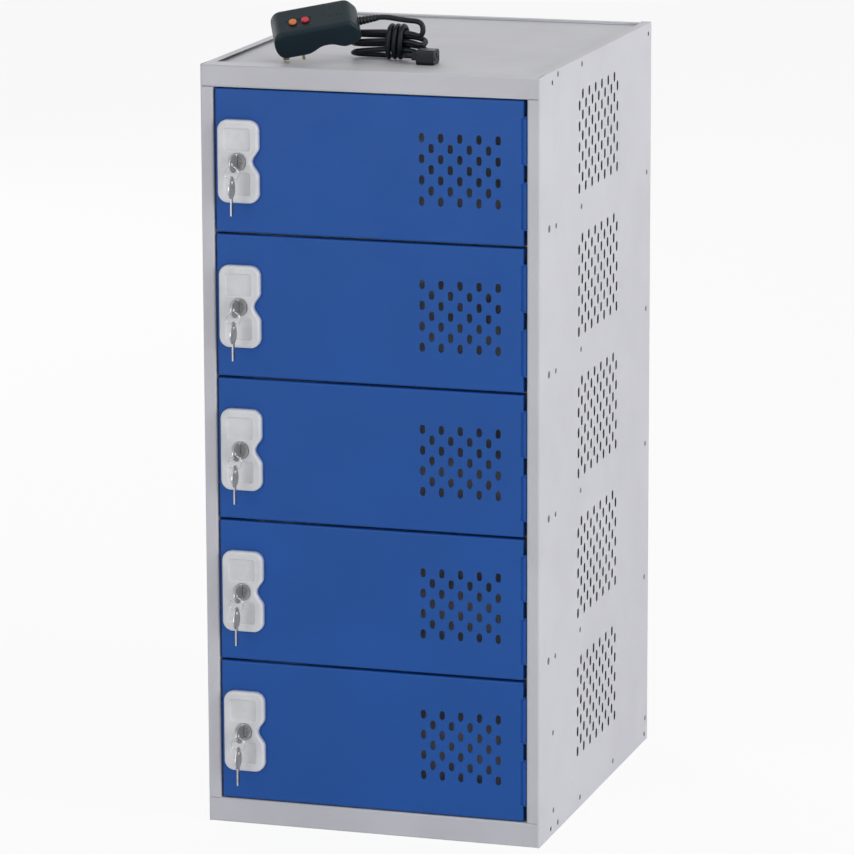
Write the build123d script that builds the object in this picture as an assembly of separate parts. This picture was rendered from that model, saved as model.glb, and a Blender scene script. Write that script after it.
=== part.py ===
"""Laptop charging locker: a steel carcass with five compartments, each behind a perforated door.

Frame: millimetres, +Z up, the front faces -Y, the doors hang on the right. The origin is the
middle of the carcass's base, on the floor.
"""
import os
from math import ceil, sqrt

from build123d import *

# Carcass, folded from steel sheet
carcass_width = 450.0
carcass_depth = 550.0
carcass_height = 1000.0
sheet = 1.0
bend_radius = 2.5
compartments = 5

# Front frame: two posts folded from the sides, and a rail above and below the doors
post_width = 17.0
post_return = 18.0
top_rail_height = 28.5
bottom_rail_height = 32.5
rail_flange = 30.0
rail_return = 15.0
side_top_flange = 12.0
side_rear_flange = 15.0

# Horizontal and vertical panels
top_recess = 4.0
panel_skirt = 14.0
shelf_front_flange = 15.0
shelf_setback = 19.0
duct_depth = 58.0
back_top_flange = 12.0

# Vent slots, in a staggered pattern
slot_width = 7.0
slot_height = 12.0
side_slot_columns = 13
side_slots_per_column = 5
side_slot_pitch_y = 15.6
side_slot_pitch_z = 27.0
side_field_y = 4.0
side_field_rise = 13.5
door_slot_columns = 9
door_slot_rows = 7
door_slot_pitch_x = 12.55
door_slot_pitch_z = 13.5
door_field_inset = 82.5

# Holes that bolt neighbouring lockers together
nest_hole_radius = 3.3
nest_hole_front = 56.0
nest_hole_rear = 18.0
nest_hole_top = 14.0
nest_hole_bottom = 10.0

# Doors
door_recess = 0.5
door_gap = 3.0
door_lock_gap = 2.5
door_hinge_gap = 5.6
door_flange = 15.0
door_edge_bevel = 0.6

# Hinges: two rolled knuckles on each door, on pins held in lugs on the right post
knuckle_radius = 2.7
knuckle_sides = 12
knuckle_length = 57.0
knuckle_inset = 22.4
pin_radius = 1.5
pin_sides = 12
pin_clearance = 0.05
hinge_clearance = 0.4
lug_radius = 2.2
lug_thickness = 2.0

# Lock plate: a thick moulding with a finger notch
plate_width = 58.0
plate_height = 110.0
plate_thickness = 9.0
plate_corner_radius = 14.0
plate_edge_inset = 3.5
plate_bevel = 2.5
notch_depth = 9.0
notch_half_height = 17.0
notch_radius = 10.0
notch_shoulder_radius = 20.0
pocket_width = 34.0
pocket_height = 28.0
pocket_depth = 2.6
pocket_corner_radius = 4.0
pocket_rise = 30.0
pocket_offset = -1.0

# Cam lock
lock_flange_radius = 11.0
lock_flange_thickness = 3.0
lock_seat_depth = 1.5
lock_body_radius = 9.5
lock_body_length = 20.0
lock_nut_thickness = 4.0
lock_nut_flat = 24.0
plug_radius = 6.0
plug_clearance = 0.05
plug_spindle_radius = 4.0
cam_length = 43.0
cam_width = 14.0
cam_thickness = 2.0
cam_post_gap = 1.0
cam_sides = 16
clearance = 0.3
flange_sides = 24

# Keys and their ring
key_thickness = 2.0
key_blade_length = 22.0
key_blade_width = 7.0
key_shoulder_radius = 12.0
key_eye_radius = 8.0
key_hole_radius = 3.6
key_bow_length = 29.0
ring_inner_radius = 8.4
ring_outer_radius = 10.0
ring_width = 2.2
ring_sides = 20
key_sides = 16
ring_seat_gap = 0.4

# Socket outlets in the compartments and the power inlet in the back
outlet_size = 86.0
outlet_thickness = 9.0
outlet_box = 64.0
outlet_box_depth = 22.0
outlet_corner_bevel = 4.0
outlet_rise = 10.0
outlet_x = -120.0
shutter_depth = 2.0
inlet_width = 50.0
inlet_height = 28.0
inlet_flange = 2.0
inlet_depth = 20.0
inlet_mouth_width = 25.0
inlet_mouth_height = 17.0
inlet_mouth_depth = 16.0
inlet_wall = 1.5
inlet_x = 150.0
inlet_drop = 100.0

# Mains lead with a safety plug, lying on the top
lead_diameter = 7.0
plug_length = 112.0
plug_width = 54.0
plug_thickness = 36.0
plug_edge_bevel = 2.5
plug_yaw = 20.0
plug_tilt = 10.0
plug_roll = 28.0
plug_corner_x = -138.0
plug_corner_y = -226.0
earth_pin_along = 12.0
earth_pin_wide = 8.0
earth_pin_thick = 4.0
earth_pin_length = 22.7
live_pin_along = 34.2
live_pin_spread = 11.1
live_pin_wide = 4.0
live_pin_thick = 6.35
live_pin_length = 17.7
pin_face_length = 40.0
relief_length = 24.0
relief_root_radius = 6.0
relief_tip_radius = 4.4
relief_sides = 8
plug_exit_height = 16.0
lead_sides = 5
button_radius = 5.0
button_height = 2.5
button_travel = 1.5
button_stem_radius = 2.0
button_stem_length = 6.0
button_well_depth = 1.2
button_well_length = 31.0
button_well_width = 14.0
button_fit = 0.05
test_button_along = 28.5
reset_button_along = 44.5
button_across = 21.0
button_sides = 12
connector_width = 27.0
connector_height = 19.0
connector_length = 24.0
connector_relief = 8.0

half_width = carcass_width / 2
inlet_z = carcass_height - inlet_drop
half_depth = carcass_depth / 2
front = -half_depth
back = half_depth
opening_half = half_width - post_width
opening_bottom = bottom_rail_height
opening_top = carcass_height - top_rail_height
door_pitch = (opening_top - opening_bottom) / compartments
door_height = door_pitch - door_gap
door_front = front + door_recess
door_left = -opening_half + door_lock_gap
door_right = opening_half - door_hinge_gap
door_back = door_front + door_flange
hinge_x = opening_half - hinge_clearance - knuckle_radius
hinge_y = door_front + knuckle_radius
top_surface = carcass_height - top_recess
partition_front = back - duct_depth
shelf_front = front + shelf_setback
lock_x = door_left + plate_edge_inset + plate_width / 2
plate_front = door_front - plate_thickness
lock_face = plate_front + lock_seat_depth - lock_flange_thickness
cam_front = front + post_return + cam_post_gap
button_bore_depth = button_stem_length + clearance


def door_middle(number):
    """Height of a door's middle; number 1 is the top door."""
    return opening_top - (number - 0.5) * door_pitch


def block(x0, x1, y0, y1, z0, z1):
    """A box between two corners."""
    centre = Pos((x0 + x1) / 2, (y0 + y1) / 2, (z0 + z1) / 2)
    return centre * Box(abs(x1 - x0), abs(y1 - y0), abs(z1 - z0))


def folded_profile(points, radius=bend_radius):
    """The section of a folded sheet, thickened to the left of its outer line."""
    line = FilletPolyline(*points, radius=radius)
    return make_face(offset(line, amount=sheet, side=Side.LEFT).edges())


def mirrored(part):
    """The left hand of a right-hand piece."""
    return mirror(part, about=Plane.YZ)


def nest_holes():
    """The four through holes near the corners of a side."""
    heights = (nest_hole_bottom, carcass_height - nest_hole_top)
    depths = (front + nest_hole_front, back - nest_hole_rear)
    drill = Rot(0, 90, 0) * Cylinder(nest_hole_radius, 6 * sheet)
    return [Pos(half_width, y, z) * drill for y in depths for z in heights]


def side_slots():
    """One staggered field of vent slots beside each compartment."""
    slots = []
    punch = Box(6 * sheet, slot_width, slot_height)
    for number in range(1, compartments + 1):
        middle = door_middle(number) + side_field_rise
        for column in range(side_slot_columns):
            y = side_field_y + (column - (side_slot_columns - 1) / 2) * side_slot_pitch_y
            low = side_slot_pitch_z / 4 * (1 if column % 2 == 0 else -1)
            for row in range(side_slots_per_column):
                z = middle - low + ((side_slots_per_column - 1) / 2 - row) * side_slot_pitch_z
                slots.append(Pos(half_width, y, z) * punch)
    return slots


def make_side(perforated):
    """A side with its post, its rear flange and a flange along the top."""
    outline = [
        (opening_half, front + post_return),
        (opening_half, front),
        (half_width, front),
        (half_width, back),
        (half_width - side_rear_flange, back),
    ]
    side = extrude(folded_profile(outline), carcass_height)
    inner = half_width - bend_radius
    notch_back = front + post_return + sheet
    side -= block(opening_half - sheet, inner, front - sheet, notch_back, opening_top, carcass_height + sheet)
    side -= block(opening_half - sheet, inner, front - sheet, notch_back, -sheet, opening_bottom)
    side += block(
        half_width - side_top_flange, half_width - sheet,
        front + rail_flange, back - sheet,
        carcass_height - sheet, carcass_height,
    )
    side -= nest_holes()
    if perforated:
        side -= side_slots()
    return side


def make_rail(low, high, flange_first):
    """A front rail: face, a deep outer flange and a shorter return round the opening."""
    outline = [
        (front + rail_flange, flange_first),
        (front, flange_first),
        (front, high if flange_first == low else low),
        (front + rail_return, high if flange_first == low else low),
    ]
    if flange_first == low:
        outline.reverse()
    section = Plane.YZ.offset(-(half_width - bend_radius)) * folded_profile(outline)
    return extrude(section, amount=2 * (half_width - bend_radius), dir=(1, 0, 0))


def make_tray(x0, x1, y0, y1, top, skirt):
    """A flat sheet with skirts folded down along all four edges."""
    tray = block(x0, x1, y0, y1, top - skirt, top)
    return tray - block(x0 + sheet, x1 - sheet, y0 + sheet, y1 - sheet, top - skirt - sheet, top - sheet)


def make_top_panel():
    """The sunk top sheet, under the flanges of the sides and the front rail."""
    inner = half_width - sheet
    return block(-inner, inner, front + bend_radius, back - bend_radius, top_surface - sheet, top_surface)


def make_floor_panel():
    """The floor of the lowest compartment."""
    inner = half_width - sheet
    return make_tray(-inner, inner, shelf_front, partition_front, opening_bottom, panel_skirt)


def make_base_panel():
    """The closing sheet that the locker stands on."""
    inner = half_width - sheet
    return block(-inner, inner, front + rail_flange, back - bend_radius, 0, sheet)


def make_shelf(level):
    """A shelf between two compartments, with a front flange and skirts at the sides and back."""
    inner = half_width - sheet
    shelf = make_tray(-inner, inner, shelf_front, partition_front, level, shelf_front_flange)
    return shelf


def make_back_panel():
    """The back sheet, inside the rear flanges, with a flange over the top panel's rear edge."""
    inner = half_width - bend_radius
    plate_back = back - sheet
    top = carcass_height - sheet
    panel = block(-inner, inner, plate_back - sheet, plate_back, sheet, top)
    panel += block(-inner, inner, plate_back - back_top_flange, plate_back - sheet, top - sheet, top)
    cut = block(
        inlet_x - inlet_mouth_width / 2 - 2 * sheet, inlet_x + inlet_mouth_width / 2 + 2 * sheet,
        plate_back - 3 * sheet, plate_back + sheet,
        inlet_z - inlet_mouth_height / 2 - 2 * sheet, inlet_z + inlet_mouth_height / 2 + 2 * sheet,
    )
    return panel - cut


def outlet_height(number):
    """Height of the middle of a compartment's socket outlet."""
    return door_middle(number) - outlet_rise


def make_partition():
    """The wall in front of the wiring duct, with a cut-out for each socket outlet."""
    inner = half_width - sheet
    top = top_surface - sheet
    wall = block(-inner, inner, partition_front, partition_front + sheet, sheet, top)
    half = outlet_box / 2 + clearance
    for number in range(1, compartments + 1):
        z = outlet_height(number)
        wall -= block(
            outlet_x - half, outlet_x + half,
            partition_front - sheet, partition_front + 2 * sheet,
            z - half, z + half,
        )
    return wall


def make_outlets():
    """Socket outlets: a face plate with three shuttered slots, and the box behind it."""
    outlets = []
    for number in range(1, compartments + 1):
        z = outlet_height(number)
        face = chamfer(Rectangle(outlet_size, outlet_size).vertices(), outlet_corner_bevel)
        plate = extrude(Plane.XZ * face, outlet_thickness)
        plate += block(
            -outlet_box / 2, outlet_box / 2, 0, outlet_box_depth, -outlet_box / 2, outlet_box / 2
        )
        for x, rise, wide, high in ((0, 11, 4.5, 8.5), (-11, -11, 7, 4.5), (11, -11, 7, 4.5)):
            plate -= block(
                x - wide / 2, x + wide / 2,
                -outlet_thickness - sheet, shutter_depth - outlet_thickness,
                rise - high / 2, rise + high / 2,
            )
        outlets.append(Pos(outlet_x, partition_front, z) * plate)
    return Compound(outlets)


def make_inlet():
    """The appliance inlet in the back: a flange, and a deep open mouth behind it."""
    mouth_back = back - sheet
    mouth_floor = mouth_back + inlet_flange - inlet_mouth_depth
    body = block(
        -inlet_width / 2, inlet_width / 2, mouth_back, mouth_back + inlet_flange,
        -inlet_height / 2, inlet_height / 2,
    )
    body += block(
        -inlet_mouth_width / 2 - inlet_wall, inlet_mouth_width / 2 + inlet_wall,
        mouth_back - inlet_depth, mouth_back,
        -inlet_mouth_height / 2 - inlet_wall, inlet_mouth_height / 2 + inlet_wall,
    )
    body -= block(
        -inlet_mouth_width / 2, inlet_mouth_width / 2,
        mouth_floor, mouth_back + 2 * inlet_flange,
        -inlet_mouth_height / 2, inlet_mouth_height / 2,
    )
    return Pos(inlet_x, 0, inlet_z) * body


def make_inlet_pins():
    """The inlet's three flat pins, standing on the floor of its mouth."""
    floor = back - sheet + inlet_flange - inlet_mouth_depth
    pins = [
        block(x - 1, x + 1, floor, back - 2 * sheet, rise - 2, rise + 2)
        for x, rise in ((0, 2), (-7, -2), (7, -2))
    ]
    return Pos(inlet_x, 0, inlet_z) * Compound(pins)


def knuckle_spans(number):
    """The two height ranges of a door's knuckles."""
    low = door_middle(number) - door_height / 2
    high = low + door_height
    return (
        (low + knuckle_inset, low + knuckle_inset + knuckle_length),
        (high - knuckle_inset - knuckle_length, high - knuckle_inset),
    )


def lug_face():
    """The section of a hinge lug: an eye round the pin on a tongue from the post."""
    nose = RegularPolygon(lug_radius, 8)
    reach = opening_half - hinge_x
    return nose + Pos(reach / 2, 0) * Rectangle(reach, sqrt(2) * lug_radius)


def make_hinge_pins():
    """Hinge pins, each welded between a pair of lugs that stand on the right post."""
    pins = []
    for number in range(1, compartments + 1):
        for low, high in knuckle_spans(number):
            reach = lug_thickness + clearance
            length = high - low + 2 * reach
            pin = Pos(hinge_x, hinge_y, low - reach) * extrude(RegularPolygon(pin_radius, pin_sides), length)
            for bottom in (low - reach, high + clearance):
                pin += Pos(hinge_x, hinge_y, bottom) * extrude(lug_face(), lug_thickness)
            pins.append(pin)
    return Compound(pins)


def door_slots(middle):
    """The staggered vent slots of one door."""
    slots = []
    punch = Box(slot_width, 6 * sheet, slot_height)
    centre = door_right - door_field_inset
    for row in range(door_slot_rows):
        for column in range(row % 2, door_slot_columns, 2):
            x = centre + (column - (door_slot_columns - 1) / 2) * door_slot_pitch_x
            z = middle + ((door_slot_rows - 1) / 2 - row) * door_slot_pitch_z
            slots.append(Pos(x, door_front, z) * punch)
    return slots


def make_door(number):
    """A door tray with vent slots, a lock hole and two rolled hinge knuckles."""
    middle = door_middle(number)
    low, high = middle - door_height / 2, middle + door_height / 2
    door = block(door_left, door_right, door_front, door_back, low, high)
    door = chamfer(door.faces().sort_by(Axis.Y)[0].edges(), door_edge_bevel)
    door -= block(
        door_left + sheet, door_right - sheet, door_front + sheet, door_back + sheet,
        low + sheet, high - sheet,
    )
    for bottom, top in knuckle_spans(number):
        height = top - bottom
        centre = Pos(hinge_x, hinge_y, bottom)
        roll = Rot(0, 0, 180 / knuckle_sides) * RegularPolygon(knuckle_radius, knuckle_sides, major_radius=False)
        door += centre * extrude(roll, height)
        door += block(door_right - 2 * sheet, hinge_x, door_front, door_front + sheet, bottom, top)
        bore = RegularPolygon(pin_radius + pin_clearance, pin_sides, major_radius=False)
        door -= centre * Pos(0, 0, -sheet) * extrude(bore, height + 2 * sheet)
    hole = RegularPolygon(lock_body_radius + clearance, flange_sides, major_radius=False)
    door -= Pos(lock_x, door_front, middle) * extrude(Plane.XZ * hole, 3 * sheet, both=True)
    door -= door_slots(middle)
    return door


def make_lock_plate(number):
    """The thick moulded plate round the lock, with a finger notch and two sunk pockets."""
    x, z = plate_width / 2, plate_height / 2
    corner = 0.3 * plate_corner_radius
    far = plate_corner_radius - corner / 2
    outline = Polyline(
        (x, notch_half_height), (x, z - far), (x - corner, z - corner), (x - far, z),
        (far - x, z), (corner - x, z - corner), (-x, z - far),
        (-x, far - z), (corner - x, corner - z), (far - x, -z),
        (x - far, -z), (x - corner, corner - z), (x, far - z), (x, -notch_half_height),
        (x - 0.75 * notch_depth, -0.4 * notch_half_height), (x - notch_depth, 0),
        (x - 0.75 * notch_depth, 0.4 * notch_half_height),
        close=True,
    )
    plate = extrude(make_face(outline), plate_thickness)
    plate = chamfer(plate.faces().sort_by(Axis.Z)[-1].edges(), plate_bevel)
    pocket = chamfer(Rectangle(pocket_width, pocket_height).vertices(), pocket_corner_radius / 2)
    for rise in (-pocket_rise, pocket_rise):
        sunk = Pos(pocket_offset, rise, plate_thickness - pocket_depth) * pocket
        plate -= extrude(sunk, amount=2 * pocket_depth)
    seat = RegularPolygon(lock_flange_radius + clearance, flange_sides, major_radius=False)
    plate -= Pos(0, 0, plate_thickness - lock_seat_depth) * extrude(seat, 2 * lock_seat_depth)
    hole = RegularPolygon(lock_body_radius + clearance, flange_sides, major_radius=False)
    plate -= extrude(hole, 2 * plate_thickness, both=True)
    upright = Plane((lock_x, door_front, door_middle(number)), x_dir=(1, 0, 0), z_dir=(0, -1, 0))
    return upright * plate


def along_lock(number, radius, y0, y1):
    """A cylinder on a lock's axis between two depths."""
    return Pos(lock_x, (y0 + y1) / 2, door_middle(number)) * Rot(90, 0, 0) * Cylinder(radius, y1 - y0)


def faceted_lock(number, radius, y0, y1):
    """A many-sided bar on a lock's axis between two depths."""
    bar = extrude(RegularPolygon(radius, flange_sides), y1 - y0)
    return Pos(lock_x, y1, door_middle(number)) * Rot(90, 0, 0) * bar


def make_lock_barrel(number):
    """The fixed barrel of a cam lock and the nut that clamps it to the door."""
    seat = lock_face + lock_flange_thickness
    end = seat + lock_body_length
    barrel = faceted_lock(number, lock_flange_radius, lock_face, seat)
    barrel += faceted_lock(number, lock_body_radius, seat, end)
    barrel -= along_lock(number, plug_radius + plug_clearance, lock_face - sheet, end + sheet)
    door_inside = door_front + sheet
    face = Plane((lock_x, door_inside, door_middle(number)), x_dir=(1, 0, 0), z_dir=(0, 1, 0))
    nut = extrude(face * RegularPolygon(lock_nut_flat / 2, 6, major_radius=False), lock_nut_thickness)
    nut -= faceted_lock(number, lock_body_radius + plug_clearance, door_inside - sheet, door_back)
    return Compound([barrel, nut])


def make_lock_plug(number):
    """The turning plug with its keyway, and the cam on its rear end; the cam hangs down at rest."""
    middle = door_middle(number)
    end = lock_face + lock_flange_thickness + lock_body_length
    cam_back = cam_front + cam_thickness
    plug = faceted_lock(number, plug_radius, lock_face - clearance, end)
    plug += faceted_lock(number, plug_spindle_radius, end, cam_back)
    width = key_thickness / 2 + clearance
    height = key_blade_width / 2 + clearance
    plug -= block(
        lock_x - width, lock_x + width, lock_face - sheet, lock_face + key_blade_length + clearance,
        middle - height, middle + height,
    )
    face = Plane((lock_x, cam_front, middle), x_dir=(1, 0, 0), z_dir=(0, 1, 0))
    eye = RegularPolygon(cam_width / 2, cam_sides)
    reach = cam_length - cam_width / 2
    blade = make_hull([*eye.edges(), *(Pos(0, reach) * eye).edges()])
    cam = extrude(face * blade, cam_thickness)
    cam -= faceted_lock(number, plug_spindle_radius, cam_front - sheet, cam_back + sheet)
    return Compound([plug, cam])


key_eye = key_bow_length - key_eye_radius
key_length = key_bow_length + key_blade_length


def key_outline():
    """A flat key along +X: the blade reaches back from 0, the bow runs on to the eye."""
    bow = make_hull([
        *(Pos(key_shoulder_radius, 0) * RegularPolygon(key_shoulder_radius, key_sides)).edges(),
        *(Pos(key_eye, 0) * RegularPolygon(key_eye_radius, key_sides)).edges(),
    ])
    blade = Pos(-key_blade_length / 2 + key_shoulder_radius / 2, 0)
    shape = bow + blade * Rectangle(key_blade_length + key_shoulder_radius, key_blade_width)
    hole = RegularPolygon(key_hole_radius, key_sides, major_radius=False)
    return shape - Pos(key_eye, 0) * hole


def make_key(number):
    """The key in the lock, its bow upright in front of the plug."""
    shoulder = lock_face - clearance
    flat = Plane((lock_x, shoulder, door_middle(number)), x_dir=(0, -1, 0), z_dir=(1, 0, 0))
    return extrude(flat * key_outline(), key_thickness / 2, both=True)


hole_chord = (key_hole_radius ** 2 - (ring_width / 2) ** 2) ** 0.5
ring_drop = hole_chord - ring_seat_gap + ring_inner_radius
ring_y = lock_face - clearance - key_eye
spare_drop = 2 * ring_drop


def make_key_ring(number):
    """The ring that hangs from the eye of the key in the lock."""
    centre = Pos(lock_x, ring_y, door_middle(number) - ring_drop) * Rot(90, 0, 0)
    outer = RegularPolygon(ring_outer_radius, ring_sides)
    inner = RegularPolygon(ring_inner_radius, ring_sides, major_radius=False)
    return centre * extrude(outer - inner, ring_width / 2, both=True)


def make_spare_key(number):
    """The second key, hanging from the ring with its blade down."""
    z = door_middle(number) - spare_drop
    flat = Plane((lock_x, ring_y, z - key_eye), x_dir=(0, 0, 1), z_dir=(1, 0, 0))
    return extrude(flat * key_outline(), key_thickness / 2, both=True)


# The safety plug lies askew on the top: its own frame runs along the body, across it and
# through it, from the low front corner, with the marked face outwards.
plug_turn = Rot(0, 0, plug_yaw) * Rot(0, -plug_tilt, 0) * Rot(plug_roll, 0, 0)
plug_rise = -min(
    (plug_turn * Pos(earth_pin_along + dx, plug_width / 2 + dy, -earth_pin_length)).position.Z
    for dx in (-earth_pin_wide / 2, earth_pin_wide / 2)
    for dy in (-earth_pin_thick / 2, earth_pin_thick / 2)
)
plug_frame = Pos(plug_corner_x, plug_corner_y, top_surface + plug_rise) * plug_turn


def make_plug_housing():
    """The moulded body of the safety plug, arched under its grip and sloped at the lead's end."""
    length, thick = plug_length, plug_thickness
    side = Polyline(
        (7, 0), (pin_face_length, 0), (48, 3.5), (57, 8.5), (66, 9.5), (76, 7.5), (85, 2.5), (92, 1),
        (length, 9), (length, 22), (length - 9, thick), (10, thick), (0, thick - 12), (1, 14),
        close=True,
    )
    body = extrude(Plane.XZ * make_face(side), amount=plug_width, dir=(0, 1, 0))
    edges = body.edges().filter_by(lambda e: abs(e.length - plug_width) > 1)
    body = chamfer([e for e in edges if e.center().Z > thick / 2], plug_edge_bevel)
    middle = (test_button_along + reset_button_along) / 2
    well = Box(button_well_length, button_well_width, 2 * button_well_depth)
    body -= Pos(middle, button_across, thick) * well
    for along in (test_button_along, reset_button_along):
        bore = RegularPolygon(button_stem_radius + button_fit, button_sides, major_radius=False)
        bottom = thick - button_well_depth - button_bore_depth
        body -= Pos(along, button_across, bottom) * extrude(bore, thick)
    return plug_frame * body


def plug_point(along, across, through):
    """A point of the safety plug's own frame, in the locker's."""
    return (plug_frame * Pos(along, across, through)).position


def make_plug_pins():
    """The three flat pins of the safety plug."""
    half = plug_width / 2
    earth = Box(earth_pin_wide, earth_pin_thick, earth_pin_length)
    pins = [plug_frame * Pos(earth_pin_along, half, -earth_pin_length / 2) * earth]
    live = Box(live_pin_wide, live_pin_thick, live_pin_length)
    for across in (half - live_pin_spread, half + live_pin_spread):
        pins.append(plug_frame * Pos(live_pin_along, across, -live_pin_length / 2) * live)
    return Compound(pins)


def make_button(along):
    """A round push button on the safety plug's marked face, its stem in a bore."""
    cap = extrude(RegularPolygon(button_radius, button_sides), button_height)
    stem = Pos(0, 0, -button_stem_length) * RegularPolygon(button_stem_radius, button_sides)
    rise = plug_thickness - button_well_depth + button_travel + clearance
    return plug_frame * Pos(along, button_across, rise) * (cap + extrude(stem, button_stem_length))


def make_relief():
    """The tapered strain relief where the lead leaves the safety plug."""
    cone = loft([
        Pos(0, 0, 0) * RegularPolygon(relief_root_radius, relief_sides),
        Pos(0, 0, relief_length) * RegularPolygon(relief_tip_radius, relief_sides),
    ], ruled=True)
    return plug_frame * Pos(plug_length, plug_width / 2, plug_exit_height) * Rot(0, 90, 0) * cone


# The lead's hank: flat loops stacked on the top, drawn in at the waist by three turns of its own
# end. Its places are along X, across the stack, and above the top panel.
hank_layers = 3
hank_y = -142.0
left_end, left_half = -62.0, 13.0
waist_left, waist_right, waist_half = -20.0, 14.0, 3.9
right_end, right_half = 34.0, 9.5
left_base, left_pitch = 10.2, 12.5
waist_base, waist_pitch = 14.0, 11.0
right_base, right_pitch = 9.0, 11.0
left_radius = 12.0
right_radius = 8.6
gentle_radius = 8.0
wrap_start, wrap_pitch, wrap_turns = -15.0, 7.7, 3
wrap_half, wrap_low, wrap_high = 11.4, 4.0, 43.6
wrap_radius = 7.0
over_height = 51.6
connector_across = -29.0
connector_axis = connector_height / 2 + clearance
connector_start = 26.0


def hank_corners():
    """The hank's route, as corners and the radius of the bend at each."""
    corners = []

    def add(x, across, height, radius):
        corners.append(((x, hank_y + across, top_surface + height), radius))

    add(12, -13, over_height + 1.5, 14)
    add(right_end, -right_half + 1, over_height, right_radius)
    for layer in range(hank_layers - 1, -1, -1):
        for side, level in ((-1, layer), (1, layer - 0.5)):
            run = [
                (right_end, right_half, right_base + right_pitch * level, right_radius),
                (waist_right, waist_half, waist_base + waist_pitch * level, gentle_radius),
                (waist_left, waist_half, waist_base + waist_pitch * level, gentle_radius),
                (left_end, left_half, left_base + left_pitch * level, left_radius),
            ]
            if side > 0:
                run.reverse()
            if side > 0 and layer == 0:
                run = run[:1]
            for x, width, height, radius in run:
                add(x, side * width, height, radius)
    quarter = wrap_pitch / 4
    x = wrap_start
    for turn in range(wrap_turns):
        for across, height in (
            (wrap_half, wrap_low), (-wrap_half, wrap_low), (-wrap_half, wrap_high), (wrap_half, wrap_high)
        ):
            add(x, across, height, wrap_radius)
            x += quarter
    add(x, wrap_half, wrap_low, wrap_radius)
    lean = quarter * (wrap_half - connector_across) / (2 * wrap_half)
    add(x + lean, connector_across, connector_axis, wrap_radius)
    return corners


def hank_route():
    """All the points of the lead's route, from the safety plug to the connector."""
    start = plug_point(plug_length + relief_length, plug_width / 2, plug_exit_height)
    ahead = plug_point(plug_length + relief_length + lead_diameter, plug_width / 2, plug_exit_height)
    end = Vector(connector_start, hank_y + connector_across, top_surface + connector_axis)
    corners = hank_corners()
    points = [start, ahead + (ahead - start) * 0.2, *(Vector(*place) for place, radius in corners), end]
    return points, [4 * lead_diameter, *(radius for place, radius in corners)]


def least_self_gap(path):
    """The least space between stretches of the lead that lie side by side."""
    steps = ceil(path.length / 1.5)
    points = [path.position_at(i / steps) for i in range(steps + 1)]
    apart = ceil(2.6 * lead_diameter / 1.5)
    least = carcass_height
    for i, point in enumerate(points):
        for other in points[i + apart:]:
            if abs(point.X - other.X) < 2 * lead_diameter:
                least = min(least, (point - other).length)
    return least - lead_diameter


def make_hank():
    """The lead as one unbroken tube, swept along straight runs and tangent arcs."""
    points, radii = hank_route()
    path = FilletPolyline(*points, radius=radii)
    print("lead length", round(path.length, 1), "least self-gap", round(least_self_gap(path), 2))
    print("lead radii", sorted(set(radii)))
    section = Plane(origin=path @ 0, z_dir=path % 0) * RegularPolygon(lead_diameter / 2, lead_sides)
    tube = sweep(section, path=path)
    area = section.area
    print("tube volume over section times length", round(tube.volume / (area * path.length), 4))
    return tube


def make_connector():
    """The appliance connector on the lead's end, with its short strain relief."""
    x = connector_start
    y = hank_y + connector_across
    z = top_surface + connector_axis
    front_end = x + connector_relief + connector_length
    relief = Pos(x + connector_relief / 2, y, z) * Box(connector_relief, 11, 10)
    body = Pos(x + connector_relief + connector_length / 2, y, z)
    body *= Box(connector_length, connector_width, connector_height)
    body = chamfer(body.edges().filter_by(Axis.X), 3)
    for across in (-7, 0, 7):
        body -= Pos(front_end, y + across, z + (2 if across == 0 else -2)) * Box(12, 2.6, 4.6)
    return body + relief


def collect():
    """Every node of the locker, by name."""
    nodes = {
        "left_side": mirrored(make_side(False)),
        "right_side": make_side(True),
        "top_rail": make_rail(opening_top, carcass_height, carcass_height),
        "bottom_rail": make_rail(0, opening_bottom, 0),
        "top_panel": make_top_panel(),
        "floor_panel": make_floor_panel(),
        "base_panel": make_base_panel(),
        "back_panel": make_back_panel(),
        "rear_partition": make_partition(),
        "socket_outlets": make_outlets(),
        "power_inlet": make_inlet(),
        "inlet_pins": make_inlet_pins(),
        "hinge_pins": make_hinge_pins(),
        "plug_housing": make_plug_housing(),
        "plug_pins": make_plug_pins(),
        "test_button": make_button(test_button_along),
        "reset_button": make_button(reset_button_along),
        "strain_relief": make_relief(),
        "lead_hank": make_hank(),
        "lead_connector": make_connector(),
    }
    for number in range(1, compartments):
        nodes[f"shelf_{number}"] = make_shelf(opening_top - number * door_pitch)
    for number in range(1, compartments + 1):
        nodes[f"door_{number}"] = make_door(number)
        nodes[f"lock_plate_{number}"] = make_lock_plate(number)
        nodes[f"lock_barrel_{number}"] = make_lock_barrel(number)
        nodes[f"lock_plug_{number}"] = make_lock_plug(number)
        nodes[f"key_{number}"] = make_key(number)
        nodes[f"key_ring_{number}"] = make_key_ring(number)
        nodes[f"spare_key_{number}"] = make_spare_key(number)
    return nodes


os.makedirs("parts", exist_ok=True)
for name, solid in collect().items():
    export_step(solid, f"parts/{name}.step")
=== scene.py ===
"""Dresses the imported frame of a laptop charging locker: pierced sheet steel, locks, keys and mains lead.

Every size is in metres, in the frame's own axes: +Z up, and the doors face -Y.
"""

from math import pi, radians

import bpy
import numpy as np
from bpy.props import FloatProperty, FloatVectorProperty, PointerProperty
from bpy.types import Operator, Panel, PropertyGroup
from mathutils import Matrix, Vector


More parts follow.
